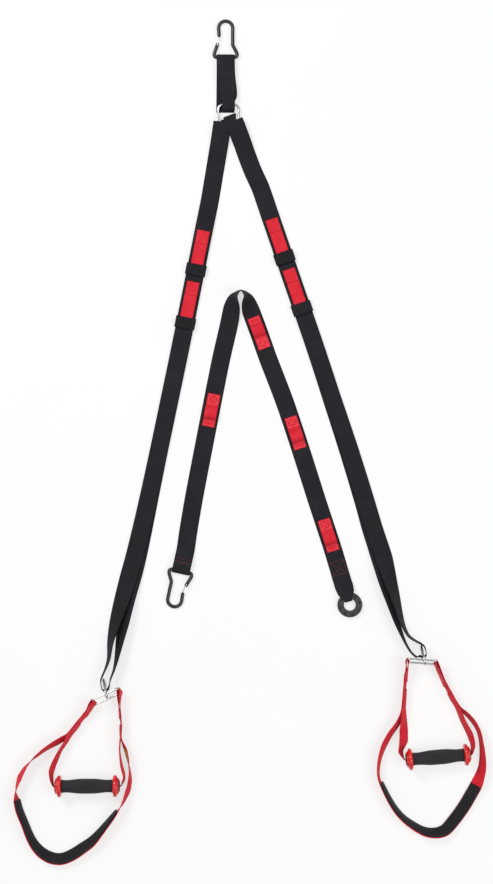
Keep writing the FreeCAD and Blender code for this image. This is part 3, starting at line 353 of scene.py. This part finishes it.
LOOKS = {
    "black_webbing": webbing("black_webbing", (0.004, 0.004, 0.006), (0.014, 0.0135, 0.018),
                             (0.024, 0.023, 0.030), sheen=0.06),
    "red_webbing": webbing("red_webbing", (0.40, 0.004, 0.014), (0.80, 0.020, 0.040), (0.92, 0.05, 0.075),
                           rib=1.5 * MM, sheen=0.12, tint=(1.0, 0.4, 0.4)),
    "pad_fabric": webbing("pad_fabric", (0.004, 0.004, 0.005), (0.013, 0.012, 0.015), (0.026, 0.024, 0.028),
                          rib=1.3 * MM, warp=1.3 * MM, sheen=0.10, tint=(0.7, 0.7, 0.7)),
    "label": webbing("label", (0.26, 0.14, 0.02), (0.62, 0.38, 0.09), (0.80, 0.55, 0.20), rib=0.9 * MM,
                     warp=0.6 * MM, sheen=0.1, tint=(1.0, 0.9, 0.6)),
    "keeper_elastic": webbing("keeper_elastic", (0.003, 0.003, 0.004), (0.011, 0.011, 0.014),
                              (0.020, 0.020, 0.025), rib=2.4 * MM, warp=1.6 * MM, sheen=0.06),
    "ring_chrome": chrome("ring_chrome", 0.08, 0.24),
    "snap_chrome": chrome("snap_chrome", 0.06, 0.20),
    "gate_steel": chrome("gate_steel", 0.18, 0.35),
    "hook_black": coated("hook_black", (0.006, 0.007, 0.007), (0.017, 0.018, 0.018), 700.0, 0.06 * MM),
    # painted shade: the disc's recesses, more than 1 mm under its top, are painted near black
    "disc_black": coated("disc_black", (0.014, 0.015, 0.015), (0.034, 0.036, 0.036), 1100.0, 0.05 * MM,
                         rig.box("anchor_disc")[1][2] - 1.0 * MM),
    "red_flange": moulded_red("flange_red", (0.50, 0.004, 0.006), (0.80, 0.010, 0.012)),
    "grip_core": core_plastic(),
    "grip_foam": grip_rubber(),
}
PALE_THREAD = thread("pale_thread", (0.80, 0.14, 0.16), (0.95, 0.30, 0.32))
RED_THREAD = thread("red_thread", (0.55, 0.008, 0.018), (0.86, 0.05, 0.07))
DARK_THREAD = thread("dark_thread", (0.14, 0.010, 0.014), (0.30, 0.026, 0.034))
BLACK_THREAD = thread("black_thread", (0.012, 0.012, 0.014), (0.05, 0.05, 0.055))


# ---------------------------------------------------------------- bands read from the frame

ROUNDING = 2e5       # vertices of the frame that agree to 1 / ROUNDING of a metre are one
START_SIDE = Vector((0, 10, 0))      # a band is followed from the end nearer this far place
STRIP_STEP = 3 * MM


def collapsed(node, thickness):
    """Points along both edges of a band, each halfway through its thickness, and their neighbours."""
    mesh = frame["nodes"][node].data
    merged = {}
    index_of = []
    for vertex in mesh.vertices:
        key = tuple(round(value * ROUNDING) for value in vertex.co)
        index_of.append(merged.setdefault(key, (len(merged), vertex.co.copy()))[0])
    points = [place for _, place in sorted(merged.values(), key=lambda item: item[0])]
    links = {tuple(sorted((index_of[a], index_of[b]))) for a, b in (edge.vertices for edge in mesh.edges)}
    links = {link for link in links if link[0] != link[1]}
    partner = {}
    for first, second in links:
        gap = abs((points[first] - points[second]).length - thickness)
        for one, other in ((first, second), (second, first)):
            if one not in partner or gap < partner[one][0]:
                partner[one] = (gap, other)
    pair_of = {}
    places = []
    for one in range(len(points)):
        other = partner[one][1]
        if one in pair_of or partner[other][1] != one:
            continue
        pair_of[one] = pair_of[other] = len(places)
        places.append((points[one] + points[other]) / 2)
    neighbours = [set() for _ in places]
    for first, second in links:
        if first in pair_of and second in pair_of and pair_of[first] != pair_of[second]:
            neighbours[pair_of[first]].add(pair_of[second])
            neighbours[pair_of[second]].add(pair_of[first])
    return places, neighbours


def walk(places, neighbours, end):
    """Pairs of points met when the band is followed from one of its ends."""
    left, right = end
    walked = [(left, right)]
    seen = {left, right}
    while True:
        ahead = sorted((neighbours[left] | neighbours[right]) - seen)
        if len(ahead) != 2:
            return walked
        one, other = ahead
        straight = (places[one] - places[left]).length + (places[other] - places[right]).length
        crossed = (places[other] - places[left]).length + (places[one] - places[right]).length
        left, right = (one, other) if straight <= crossed else (other, one)
        walked.append((left, right))
        seen |= {left, right}


def sections(node, thickness):
    """Pairs of points on the two edges of a band, from the end nearer START_SIDE to the other."""
    places, neighbours = collapsed(node, thickness)
    walks = []
    for one, beside in enumerate(neighbours):
        for other in beside:
            if one < other and len((neighbours[one] | neighbours[other]) - {one, other}) == 2:
                walks.append(walk(places, neighbours, (one, other)))
                walks.append(walk(places, neighbours, (other, one)))
    longest = max(len(walked) for walked in walks)
    best = min((walked for walked in walks if len(walked) == longest),
               key=lambda walked: (places[walked[0][0]] - START_SIDE).length)
    return [(places[one].copy(), places[other].copy()) for one, other in best]


class Strip:
    """A band as closely spaced places: its middle, the direction across it, its face normal and its width."""

    def __init__(self, node, thickness):
        pairs = sections(node, thickness)
        self.node = node
        self.thickness = thickness
        knots = [0.0]
        for before, after in zip(pairs, pairs[1:]):
            knots.append(knots[-1] + (sum(after, Vector()) - sum(before, Vector())).length / 2 + 1e-9)
        rails = []
        for side in (0, 1):
            line = [pair[side] for pair in pairs]
            slopes = []
            for index in range(len(line)):
                low, high = max(index - 1, 0), min(index + 1, len(line) - 1)
                slopes.append((line[high] - line[low]) / (knots[high] - knots[low]))
            rails.append((line, slopes))
        self.places = []
        for index in range(len(knots) - 1):
            length = knots[index + 1] - knots[index]
            steps = max(1, math.ceil(length / STRIP_STEP))
            last = index == len(knots) - 2
            for count in range(steps + (1 if last else 0)):
                part = count / steps
                ends = []
                for line, slopes in rails:
                    ends.append(hermite(line, slopes, index, length, part))
                self.places.append((knots[index] + length * part, *ends))
        self.length = knots[-1]
        self.finish()

    def finish(self):
        """Face normals, all on one face of the band; that face looks up where the band starts."""
        rows = []
        for index, (along, left, right) in enumerate(self.places):
            before = self.places[max(index - 1, 0)]
            after = self.places[min(index + 1, len(self.places) - 1)]
            travel = (after[1] + after[2] - before[1] - before[2]).normalized()
            across = right - left
            width = across.length
            across.normalize()
            normal = travel.cross(across).normalized()
            rows.append([along, (left + right) / 2, across, normal, width])
        if rows[2][3].z <= 0:
            for row in rows:
                row[2] = row[2] * -1
                row[3] = row[3] * -1
        self.rows = rows

    def at(self, along):
        """Middle, across, normal and width at a distance from the start."""
        along = min(max(along, 0.0), self.length)
        low = 0
        high = len(self.rows) - 1
        while high - low > 1:
            middle = (low + high) // 2
            if self.rows[middle][0] <= along:
                low = middle
            else:
                high = middle
        first, second = self.rows[low], self.rows[high]
        span = second[0] - first[0]
        part = (along - first[0]) / span if span > 0 else 0.0
        return [first[k] * (1 - part) + second[k] * part for k in (1, 2, 3, 4)]

    def surface(self, along, across, lift):
        """Place on or above the band, from its distances along, across and off the middle."""
        middle, sideways, normal, _ = self.at(along)
        return middle + sideways.normalized() * across + normal.normalized() * lift


def hermite(line, slopes, index, length, part):
    """Place on the smooth curve between a point of the line and the next."""
    first, second = line[index], line[index + 1]
    square, cube = part * part, part ** 3
    return (first * (2 * cube - 3 * square + 1) + slopes[index] * (length * (cube - 2 * square + part))
            + second * (3 * square - 2 * cube) + slopes[index + 1] * (length * (cube - square)))


def new_object(name, vertices, faces, material, uvs=None, side=None):
    mesh = bpy.data.meshes.new(name)
    mesh.from_pydata(vertices, [], faces)
    mesh.materials.append(material)
    for polygon in mesh.polygons:
        polygon.use_smooth = True
    if uvs:
        layer = mesh.uv_layers.new(name="UVMap")
        for loop in mesh.loops:
            layer.data[loop.index].uv = uvs[loop.vertex_index]
    if side:
        attribute = mesh.attributes.new("side", "FLOAT", "POINT")
        for index, value in enumerate(side):
            attribute.data[index].value = value
    mesh.validate()
    made = bpy.data.objects.new(name, mesh)
    bpy.context.scene.collection.objects.link(made)
    return made


def dress(piece, node):
    """The piece moves with the node's body, takes its slot's finish and stands for the node."""
    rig.ride(piece, BODY_OF[node])
    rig.slot(piece, SLOT_OF[node])
    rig.replaces(piece, node)


ACROSS = 10              # faces across a band
BAND_ROUNDING = 14       # the higher, the squarer the edges
PAD_ROUNDING = 5
RIPPLE = 0.15 * MM
RIPPLES_PER_METRE = 14
RIPPLE_FADE = 8 * MM     # the ripple dies out over this length at each end
PAD_FADE = 10 * MM
FLOOR_CLEARANCE = 0.05 * MM


def band_profile(width, thickness, puff):
    """Closed section of a band: sideways and through, with soft edges; puff swells one face (its sign)."""
    half = width / 2
    points = []
    for level in (1, -1):
        for index in range(ACROSS + 1):
            place = (index / ACROSS * 2 - 1) * level
            roll = math.sqrt(max(0.0, 1 - abs(place) ** (PAD_ROUNDING if puff else BAND_ROUNDING)))
            through = level * thickness / 2 * (0.35 + 0.65 * roll)
            if level * puff > 0:
                through += puff * (1 - place * place)
            points.append((place * half, through, abs(place)))
    return points


def band_object(name, strip, material, puff):
    """The visible band along a strip, with a slight ripple and a weave laid out in metres."""
    vertices, uvs, side, faces = [], [], [], []
    count = 2 * (ACROSS + 1)
    for row, (along, middle, across, normal, width) in enumerate(strip.rows):
        to_end = strip.length - along
        fade = min(1.0, along / RIPPLE_FADE, to_end / RIPPLE_FADE)
        wave = noise.noise(Vector((along * RIPPLES_PER_METRE, len(name) * 1.7, 0.3))) * RIPPLE * fade
        swell = puff * math.sqrt(max(0.0, min(1.0, along / PAD_FADE, to_end / PAD_FADE)))
        for place, through, edge in band_profile(width, strip.thickness, swell):
            point = middle + across * place + normal * (through + wave)
            point.z = max(point.z, FLOOR_CLEARANCE)
            vertices.append(point)
            uvs.append((place, along))
            side.append(edge)
        if row:
            base = row * count
            for index in range(count):
                other = (index + 1) % count
                faces.append((base - count + index, base - count + other, base + other, base + index))
    faces.append(tuple(range(count)))
    faces.append(tuple(range(len(vertices) - 1, len(vertices) - count - 1, -1)))
    return new_object(name, vertices, faces, material, uvs, side)


THREAD_RADIUS = 0.42 * MM
THREAD_SIDES = 5
STITCH_PITCH = 3.2 * MM
PAD_STITCH_PITCH = 3.6 * MM


class Stitches:
    """Rows of thread on bands, gathered into one piece for each body and thread."""

    def __init__(self):
        self.groups = {}

    def line(self, strip, face, start, end, material, pitch=STITCH_PITCH):
        """Stitches on one face (1 or -1) from one (along, across) place to another."""
        run = math.hypot(end[0] - start[0], end[1] - start[1])
        count = max(1, round(run / pitch))
        lift = face * (strip.thickness / 2 + THREAD_RADIUS * 0.35)
        for index in range(count):
            places = []
            for part in ((index + 0.12) / count, (index + 0.5) / count, (index + 0.88) / count):
                along = start[0] + (end[0] - start[0]) * part
                across = start[1] + (end[1] - start[1]) * part
                places.append((along, across))
            sunk = lift - face * THREAD_RADIUS
            dips = (sunk, lift + face * THREAD_RADIUS * 0.3, sunk)
            points = [strip.surface(along, across, dip) for (along, across), dip in zip(places, dips)]
            self.add(strip.node, material, points)

    def add(self, node, material, points):
        """One stitch: a short thread through the points, thinner at its ends."""
        group = self.groups.setdefault((BODY_OF[node], material.name), ([], [], node, material))
        vertices, faces = group[:2]
        base = len(vertices)
        sides = THREAD_SIDES
        travel = (points[-1] - points[0]).normalized()
        first = travel.orthogonal().normalized()
        second = travel.cross(first)
        for row, point in enumerate(points):
            thick = THREAD_RADIUS * (1.0 if 0 < row < len(points) - 1 else 0.6)
            for turn in range(sides):
                angle = 2 * math.pi * turn / sides
                vertices.append(point + first * (thick * math.cos(angle))
                                + second * (thick * math.sin(angle)))
            if row:
                for turn in range(sides):
                    other = (turn + 1) % sides
                    low = base + (row - 1) * sides
                    high = base + row * sides
                    faces.append((low + turn, low + other, high + other, high + turn))
        faces.append(tuple(base + turn for turn in range(sides))[::-1])
        faces.append(tuple(base + (len(points) - 1) * sides + turn for turn in range(sides)))

    def box(self, strip, face, start, end, half, material, crossed=True):
        """Stitched rectangle between two distances along the strip, with a cross in it or not."""
        corners = [(start, -half), (start, half), (end, half), (end, -half)]
        for one, other in zip(corners, corners[1:] + corners[:1]):
            self.line(strip, face, one, other, material)
        if crossed:
            self.line(strip, face, corners[0], corners[2], material)
            self.line(strip, face, corners[1], corners[3], material)

    def build(self):
        for (body, thread_name), (vertices, faces, node, material) in self.groups.items():
            piece = new_object("stitches_" + body + "_" + thread_name, vertices, faces, material)
            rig.ride(piece, body)
            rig.slot(piece, SLOT_OF[node])


STITCHES = Stitches()


# ---------------------------------------------------------------- bands

THICKNESS = {"black_webbing": 2.0 * MM, "red_webbing": 1.6 * MM, "pad_fabric": 4.0 * MM, "label": 0.6 * MM}
PAD_SWELL = 1.6 * MM
STRIPS = {}


def centre_of(node):
    """Middle of the box round a node of the frame."""
    low, high = (Vector(corner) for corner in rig.box(node))
    return (low + high) / 2


for node, slot in SLOT_OF.items():
    if slot not in THICKNESS:
        continue
    strip = Strip(node, THICKNESS[slot])
    STRIPS[node] = strip
    swell = 0.0
    if slot == "pad_fabric":
        middle, _, normal, _ = strip.at(strip.length / 2)
        inward = (centre_of(BODY_OF[node].replace("handle", "grip_foam")) - middle).dot(normal)
        swell = math.copysign(PAD_SWELL, inward)
    piece = band_object(node + "_cloth", strip, LOOKS[slot], swell)
    if slot == "pad_fabric":
        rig.padded(piece)
    dress(piece, node)


# ---------------------------------------------------------------- stitching

def nearest(strip, x, y, low=0.0, high=1.0):
    """How far along a strip the place nearest to a point of the floor lies, within a share of its length."""
    rows = [row for row in strip.rows if low <= row[0] / strip.length <= high]
    return min(rows, key=lambda row: math.hypot(row[1].x - x, row[1].y - y))[0]


TOP, UNDER = 1, -1       # faces of a strip: the one that looks up where the strip starts, and the other
LEG_LOOP_SEAM = 12 * MM          # half widths of the stitching
EXTENSION_LOOP_SEAM = 11 * MM
STRAP_SEAM = 17 * MM
PAD_SEAM = 11 * MM
FOOT_STRAP_SEAM = 10 * MM
DISC_BOX = 15 * MM               # half of the square of stitching before the disc
DISC_BOX_PLACE = (0.1968, -0.277)
HEAD_SEAM_PLACE = (-0.052, 0.803)

for side in ("left", "right"):
    for place in ("upper", "lower"):
        strip = STRIPS[side + "_leg_loop_" + place]
        outline = (strip.length - 3 * MM, strip.length - 22 * MM)
        STITCHES.box(strip, UNDER, *outline, LEG_LOOP_SEAM, RED_THREAD, crossed=False)
        STITCHES.box(strip, TOP, 3 * MM, 26 * MM, LEG_LOOP_SEAM, RED_THREAD)
for place in ("left", "upper", "middle", "lower"):
    strip = STRIPS["extension_loop_" + place]
    if place == "upper":
        sewn, plain = strip.length - 22 * MM, 3 * MM
    else:
        sewn, plain = 3 * MM, strip.length - 13 * MM
    STITCHES.box(strip, TOP, sewn, sewn + 19 * MM, EXTENSION_LOOP_SEAM, PALE_THREAD)
    STITCHES.box(strip, TOP, plain, plain + 10 * MM, EXTENSION_LOOP_SEAM, PALE_THREAD, crossed=False)

extension = STRIPS["extension_webbing"]
disc = centre_of("anchor_disc")
fold = nearest(extension, disc.x, disc.y, 0.6)
before_disc = nearest(extension, *DISC_BOX_PLACE, 0.6, fold / extension.length)
STITCHES.box(extension, UNDER, before_disc - DISC_BOX, before_disc + DISC_BOX, DISC_BOX, DARK_THREAD)
hook = centre_of("extension_hook_body")
top_layer = nearest(extension, hook.x, hook.y, 0.0, 0.3)
for distance in (26, 29, 36):
    along = top_layer + distance * MM
    STITCHES.line(extension, UNDER, (along, -STRAP_SEAM), (along, STRAP_SEAM), DARK_THREAD)

head = STRIPS["head_strap"]
seam = nearest(head, *HEAD_SEAM_PLACE, 0.3, 0.55)
for along in (seam, seam + 3 * MM):
    STITCHES.line(head, UNDER, (along, -STRAP_SEAM), (along, STRAP_SEAM), BLACK_THREAD)
for side in ("left", "right"):
    leg = STRIPS[side + "_leg_webbing"]
    for along in (95 * MM, 98 * MM, 118 * MM, 121 * MM):
        STITCHES.line(leg, TOP, (along, -STRAP_SEAM), (along, STRAP_SEAM), BLACK_THREAD)
    pad = STRIPS[side + "_foot_pad"]
    for face in (TOP, UNDER):
        for across in (-PAD_SEAM, PAD_SEAM):
            start, end = (4 * MM, across), (pad.length - 4 * MM, across)
            STITCHES.line(pad, face, start, end, BLACK_THREAD, PAD_STITCH_PITCH)
    strap = STRIPS[side + "_foot_strap"]
    for start in (14 * MM, strap.length - 30 * MM):
        STITCHES.box(strap, TOP, start, start + 16 * MM, FOOT_STRAP_SEAM, PALE_THREAD)
STITCHES.build()


# ---------------------------------------------------------------- keepers, grips and hard pieces

SLEEVE_WALL = 1.4 * MM
SLEEVE_CORNER = 2.4 * MM
SLEEVE_ROWS = 28
SLEEVE_POINTS = 64
SLEEVE_RIB = 0.12 * MM
FOAM_ROWS = 120
FOAM_POINTS = 128
FOAM_EDGE = 1.2 * MM     # length over which the foam rounds off at its ends
FOAM_ROUND = 0.8 * MM


def frame_points(node):
    """Vertices of a node of the frame."""
    return [vertex.co for vertex in frame["nodes"][node].data.vertices]


def keeper_sleeve(node):
    """Elastic sleeve: a rounded flat tube with cross ribs."""
    leg = STRIPS[BODY_OF[node].split("_")[0] + "_leg_webbing"]
    middle = centre_of(node)
    row = min(leg.rows, key=lambda row: (row[1] - middle).length)
    across = Vector((row[2].x, row[2].y, 0)).normalized()
    along = Vector((-across.y, across.x, 0))
    points = [point - middle for point in frame_points(node)]
    half_width = max(abs(point.dot(across)) for point in points)
    half_length = max(abs(point.dot(along)) for point in points)
    half_height = max(abs(point.z) for point in points)

    def ring(distance, inset):
        places = []
        corner = SLEEVE_CORNER - inset
        for index in range(SLEEVE_POINTS):
            turn = 2 * math.pi * index / SLEEVE_POINTS
            quarter = (math.copysign(1, math.cos(turn)), math.copysign(1, math.sin(turn)))
            places.append((quarter[0] * (half_width - inset - corner) + corner * math.cos(turn),
                           quarter[1] * (half_height - inset - corner) + corner * math.sin(turn)))
        return [middle + across * x + Vector((0, 0, z)) + along * distance for x, z in places]

    rows = []
    for index in range(SLEEVE_ROWS + 1):
        distance = (index / SLEEVE_ROWS * 2 - 1) * half_length
        rib = SLEEVE_RIB * (1 + math.cos(index * math.pi))
        rows.append((distance, rib))
    rows += [(distance, SLEEVE_WALL) for distance, _ in rows[::-1]]
    rings = [ring(distance, inset) for distance, inset in rows]
    vertices, uvs, side, faces = [], [], [], []
    count = len(rings[0])
    for number, (places, (distance, _)) in enumerate(zip(rings, rows)):
        for place in places:
            vertices.append(place)
            uvs.append((distance, (place - middle).dot(across)))
            side.append(abs(distance) / half_length)
        following = (number + 1) % len(rings)
        for index in range(count):
            other = (index + 1) % count
            faces.append((number * count + index, number * count + other,
                          following * count + other, following * count + index))
    dress(new_object(node + "_cloth", vertices, faces, LOOKS["keeper_elastic"], uvs, side), node)


def grip_sleeve(node):
    """Foam sleeve turned about the grip's axis, with the outline of the frame's node."""
    side = node.split("_")[0]
    axis = (centre_of(side + "_grip_flange_inner") - centre_of(side + "_grip_flange_outer")).normalized()
    middle = centre_of(node)
    offsets = [point - middle for point in frame_points(node)]
    profile = sorted((offset.dot(axis), (offset - axis * offset.dot(axis)).length) for offset in offsets)
    inner = min(radius for _, radius in profile)
    half = profile[-1][0]
    knots = []
    for distance, radius in profile:
        if radius > inner + 0.5 * MM and (not knots or distance - knots[-1][0] > 0.01 * MM):
            knots.append((distance, radius))
    first = Vector((0, 0, 1))
    second = axis.cross(first)
    rows = []
    for index in range(FOAM_ROWS + 1):
        distance = (index / FOAM_ROWS * 2 - 1) * half
        after = next((knot for knot in knots if knot[0] >= distance), knots[-1])
        before = next((knot for knot in reversed(knots) if knot[0] <= distance), knots[0])
        part = (distance - before[0]) / (after[0] - before[0]) if after[0] > before[0] else 0.0
        radius = before[1] + (after[1] - before[1]) * part
        edge = max(0.0, abs(distance) - (half - FOAM_EDGE)) / FOAM_EDGE
        rows.append((distance, radius - FOAM_ROUND * edge * edge))
    rows = [(-half, inner)] + rows + [(half, inner)]
    count = FOAM_POINTS
    middle_radius = rows[len(rows) // 2][1]
    vertices, uvs, faces = [], [], []
    for number, (distance, radius) in enumerate(rows):
        for index in range(count):
            turn = 2 * math.pi * index / count
            outward = first * math.cos(turn) + second * math.sin(turn)
            vertices.append(middle + axis * distance + outward * radius)
            uvs.append((turn * middle_radius, distance))
        if number:
            base = number * count
            for index in range(count):
                other = (index + 1) % count
                faces.append((base - count + index, base - count + other, base + other, base + index))
    dress(new_object(node + "_rubber", vertices, faces, LOOKS["grip_foam"], uvs), node)


for node, slot in SLOT_OF.items():
    if slot == "keeper_elastic":
        keeper_sleeve(node)
    elif slot == "grip_foam":
        grip_sleeve(node)
    elif slot not in THICKNESS:
        piece = frame["nodes"][node]
        piece.data.materials.clear()
        piece.data.materials.append(LOOKS[slot])


# ---------------------------------------------------------------- studio

def floor_look():
    """Matt white paper; seen directly it is lifted towards white, as in a light tent."""
    look = Look("studio_floor", Roughness=0.95)
    look.colour(look.ramp(look.noise(3.0), [(0.2, (0.80, 0.80, 0.80)), (0.8, (0.83, 0.83, 0.83))]))
    glow = look.node("ShaderNodeEmission", {"Color": (1, 1, 1, 1), "Strength": 1.0}).outputs[0]
    rays = look.node("ShaderNodeLightPath").outputs
    seen = look.math("MAXIMUM", rays["Is Camera Ray"], rays["Is Glossy Ray"])
    seen = look.math("MAXIMUM", seen, rays["Is Transmission Ray"])
    share = look.math("MULTIPLY", seen, 0.68)
    mixed = look.node("ShaderNodeMixShader", {0: share, 1: look.shader.outputs[0], 2: glow}).outputs[0]
    look.tree.links.new(mixed, look.tree.nodes["Material Output"].inputs["Surface"])
    return look.material


FLOOR_SIZE = 16
FLOOR_GAP = 0.1 * MM
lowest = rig.bounds()[0][2]
bpy.ops.mesh.primitive_plane_add(size=FLOOR_SIZE, location=(0, 0, lowest - FLOOR_GAP))
floor = bpy.context.object
floor.data.materials.append(floor_look())


def soft_light(name, place, size, power):
    """Round soft lamp that points at the middle of the floor."""
    data = bpy.data.lights.new(name, "AREA")
    data.shape = "DISK"
    data.size = size
    data.energy = power
    lamp = bpy.data.objects.new(name, data)
    bpy.context.scene.collection.objects.link(lamp)
    lamp.location = place
    lamp.rotation_euler = (-Vector(place)).to_track_quat("-Z", "Y").to_euler()
    return lamp


LAMPS = [
    soft_light("key", (-2.4, 2.2, 3.6), 1.6, 120.0),
    soft_light("fill", (2.8, -1.2, 3.2), 2.6, 60.0),
]

world = bpy.data.worlds.new("studio")
bpy.context.scene.world = world
world.use_nodes = True
tree = world.node_tree
direction = tree.nodes.new("ShaderNodeTexCoord")
split = tree.nodes.new("ShaderNodeSeparateXYZ")
tree.links.new(direction.outputs["Generated"], split.inputs[0])
ramp = tree.nodes.new("ShaderNodeValToRGB")
tree.links.new(split.outputs["Z"], ramp.inputs["Fac"])
ramp.color_ramp.elements[0].position = 0.15
ramp.color_ramp.elements[0].color = (0.25, 0.25, 0.26, 1)
ramp.color_ramp.elements[1].position = 0.8
ramp.color_ramp.elements[1].color = (1, 1, 1, 1)
tree.links.new(ramp.outputs["Color"], tree.nodes["Background"].inputs["Color"])
tree.nodes["Background"].inputs["Strength"].default_value = 0.75

view = bpy.data.cameras.new("camera")
view.lens = 85
view.sensor_fit = "VERTICAL"
view.sensor_height = 36
camera = bpy.data.objects.new("camera", view)
bpy.context.scene.collection.objects.link(camera)
SHOWN_HEIGHT = 1.9448    # metres of floor from the bottom of the picture to the top
SHOWN_MIDDLE = (-0.0066, -0.0022)
camera.location = (*SHOWN_MIDDLE, SHOWN_HEIGHT * view.lens / view.sensor_height)
bpy.context.scene.camera = camera
bpy.context.scene.view_settings.view_transform = "Standard"

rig.stage(floor, camera, *LAMPS)
write_size("visual")
